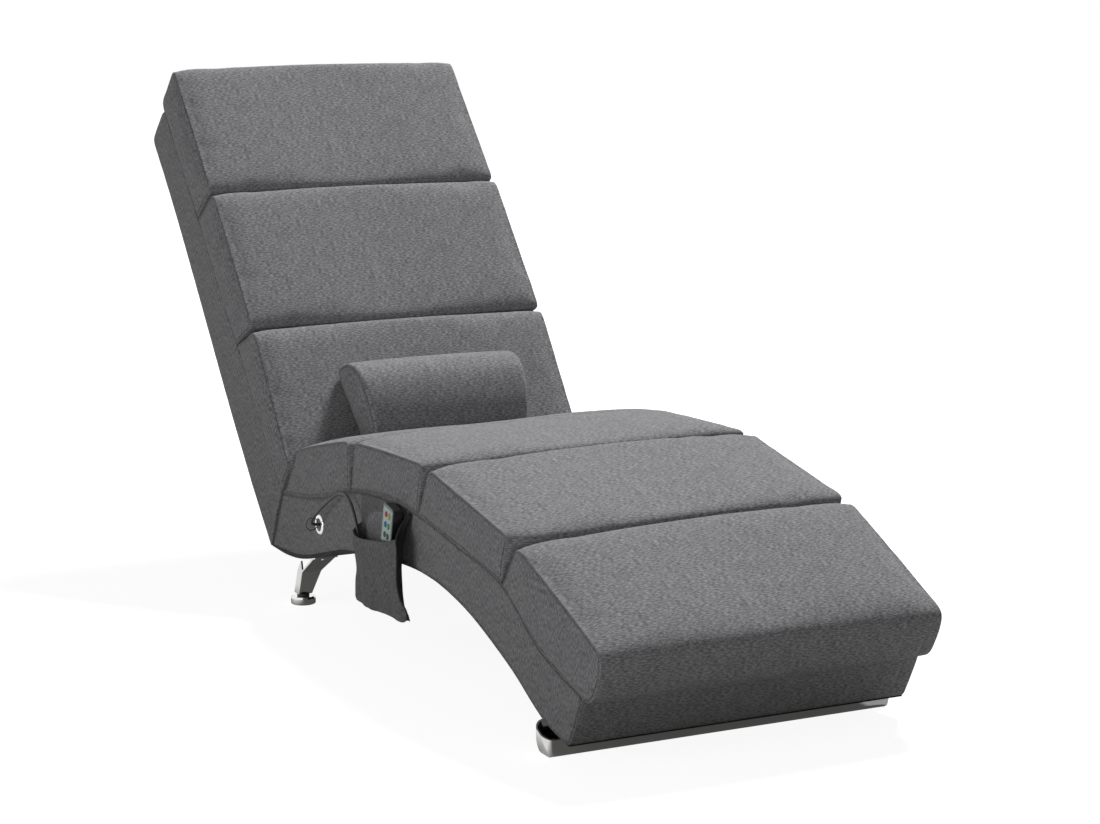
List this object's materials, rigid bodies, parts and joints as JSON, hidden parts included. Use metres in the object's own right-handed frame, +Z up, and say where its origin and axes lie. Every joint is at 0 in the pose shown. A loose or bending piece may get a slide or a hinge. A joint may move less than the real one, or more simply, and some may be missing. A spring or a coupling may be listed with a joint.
{
  "type": "massage recliner",
  "caption": "Upholstered S-curved massage lounger with a raked back, a loose bolster, a corded handset in a side pocket, a chrome front bar and chrome rear legs.",
  "frame": {"origin": "on the floor, at the middle of the lounger's length and of the seat's width", "axes": "+X to the sitter's left, +Y from the foot end to the head end, +Z up"},
  "size_m": [0.601, 1.7953, 0.8679],
  "materials": {
    "cushion_fabric": "dark grey heathered linen-look weave over foam",
    "cover_fabric": "dark grey heathered linen-look weave",
    "dust_cloth": "black nonwoven cloth",
    "black_piping": "black binding tape",
    "frame_wood": "unfinished plywood and pine",
    "chrome": "polished chrome plate",
    "zinc_steel": "zinc plated",
    "inner_plastic": "matte black",
    "black_plastic": "matte black",
    "circuit_board": "green solder mask",
    "cord_rubber": "matte black",
    "nylon": "black nylon",
    "handset_plastic": "satin black",
    "label_film": "blue-green film",
    "key_rubber": "matte, dark grey"
  },
  "bodies": {
    "lounger": {"seat_side_panel_right": "frame_wood", "seat_side_panel_left": "frame_wood", "seat_cross_rails": "frame_wood", "seat_deck": "frame_wood", "seat_side_cover_right": "cover_fabric", "seat_side_cover_left": "cover_fabric", "seat_front_cover": "cover_fabric", "seat_rear_cover": "cover_fabric", "seat_dust_cover": "dust_cloth", "back_side_panel_right": "frame_wood", "back_side_panel_left": "frame_wood", "back_cross_rails": "frame_wood", "back_board": "frame_wood", "back_cover": "cover_fabric", "back_bolts": "zinc_steel", "seat_cushion_foot": "cushion_fabric", "seat_cushion_calf": "cushion_fabric", "seat_cushion_thigh": "cushion_fabric", "seat_cushion_hip": "cushion_fabric", "back_cushion_lower": "cushion_fabric", "back_cushion_middle": "cushion_fabric", "back_cushion_upper": "cushion_fabric", "massage_pod_bases": "inner_plastic", "massage_pod_cases": "inner_plastic", "massage_motors": "zinc_steel", "front_bar": "chrome", "front_bar_end_cap_right": "chrome", "front_bar_end_cap_left": "chrome", "front_bar_screws": "zinc_steel", "rear_leg_right": "chrome", "rear_leg_left": "chrome", "leg_screws": "zinc_steel", "foot_inserts": "black_plastic", "cord_grommet": "chrome", "control_box": "inner_plastic", "control_box_lid": "inner_plastic", "control_board": "circuit_board", "handset_cord": "cord_rubber", "tie_loop": "nylon", "remote_pocket": "cover_fabric", "pocket_binding": "black_piping"},
    "bolster": {"bolster": "cushion_fabric"},
    "handset": {"handset_front_shell": "handset_plastic", "handset_back_shell": "handset_plastic", "handset_board": "circuit_board", "handset_label": "label_film", "handset_strain_relief": "cord_rubber"},
    "levelling_foot_right": {"levelling_foot_right": "chrome"},
    "levelling_foot_left": {"levelling_foot_left": "chrome"},
    "key_power": {"key_power": "key_rubber"},
    "key_heat": {"key_heat": "key_rubber"},
    "key_mode": {"key_mode": "key_rubber"},
    "key_speed": {"key_speed": "key_rubber"},
    "key_upper": {"key_upper": "key_rubber"},
    "key_lower": {"key_lower": "key_rubber"},
    "eccentric_weight_calf": {"eccentric_weight_calf": "zinc_steel"},
    "eccentric_weight_thigh": {"eccentric_weight_thigh": "zinc_steel"},
    "eccentric_weight_lumbar": {"eccentric_weight_lumbar": "zinc_steel"},
    "eccentric_weight_shoulder": {"eccentric_weight_shoulder": "zinc_steel"}
  },
  "joints": [
    {"name": "bolster_lift", "type": "slide", "parent": "lounger", "child": "bolster", "axis": [0, 0, 1], "range_m": [0, 0.3]},
    {"name": "handset_lift", "type": "slide", "parent": "lounger", "child": "handset", "axis": [0.0523, -0.1045, 0.9931], "range_m": [0, 0.15]},
    {"name": "key_power_press", "type": "slide", "parent": "handset", "child": "key_power", "axis": [0.9932, -0.0981, -0.0627], "range_m": [0, 0.001], "stiffness_N_per_m": 1500},
    {"name": "key_heat_press", "type": "slide", "parent": "handset", "child": "key_heat", "axis": [0.9932, -0.0981, -0.0627], "range_m": [0, 0.001], "stiffness_N_per_m": 1500},
    {"name": "key_mode_press", "type": "slide", "parent": "handset", "child": "key_mode", "axis": [0.9932, -0.0981, -0.0627], "range_m": [0, 0.001], "stiffness_N_per_m": 1500},
    {"name": "key_speed_press", "type": "slide", "parent": "handset", "child": "key_speed", "axis": [0.9932, -0.0981, -0.0627], "range_m": [0, 0.001], "stiffness_N_per_m": 1500},
    {"name": "key_upper_press", "type": "slide", "parent": "handset", "child": "key_upper", "axis": [0.9932, -0.0981, -0.0627], "range_m": [0, 0.001], "stiffness_N_per_m": 1500},
    {"name": "key_lower_press", "type": "slide", "parent": "handset", "child": "key_lower", "axis": [0.9932, -0.0981, -0.0627], "range_m": [0, 0.001], "stiffness_N_per_m": 1500},
    {"name": "levelling_foot_right_screw", "type": "slide", "parent": "lounger", "child": "levelling_foot_right", "axis": [0, 0, -1], "range_m": [0, 0.008]},
    {"name": "levelling_foot_left_screw", "type": "slide", "parent": "lounger", "child": "levelling_foot_left", "axis": [0, 0, -1], "range_m": [0, 0.008]},
    {"name": "eccentric_weight_calf_spin", "type": "hinge", "parent": "lounger", "child": "eccentric_weight_calf", "pos_m": [0, -0.43396, 0.25598], "axis": [1, 0, 0], "continuous": true},
    {"name": "eccentric_weight_thigh_spin", "type": "hinge", "parent": "lounger", "child": "eccentric_weight_thigh", "pos_m": [0, -0.15187, 0.27903], "axis": [1, 0, 0], "continuous": true},
    {"name": "eccentric_weight_lumbar_spin", "type": "hinge", "parent": "lounger", "child": "eccentric_weight_lumbar", "pos_m": [0, 0.3626, 0.3121], "axis": [1, 0, 0], "continuous": true},
    {"name": "eccentric_weight_shoulder_spin", "type": "hinge", "parent": "lounger", "child": "eccentric_weight_shoulder", "pos_m": [0, 0.55629, 0.52348], "axis": [1, 0, 0], "continuous": true}
  ]
}
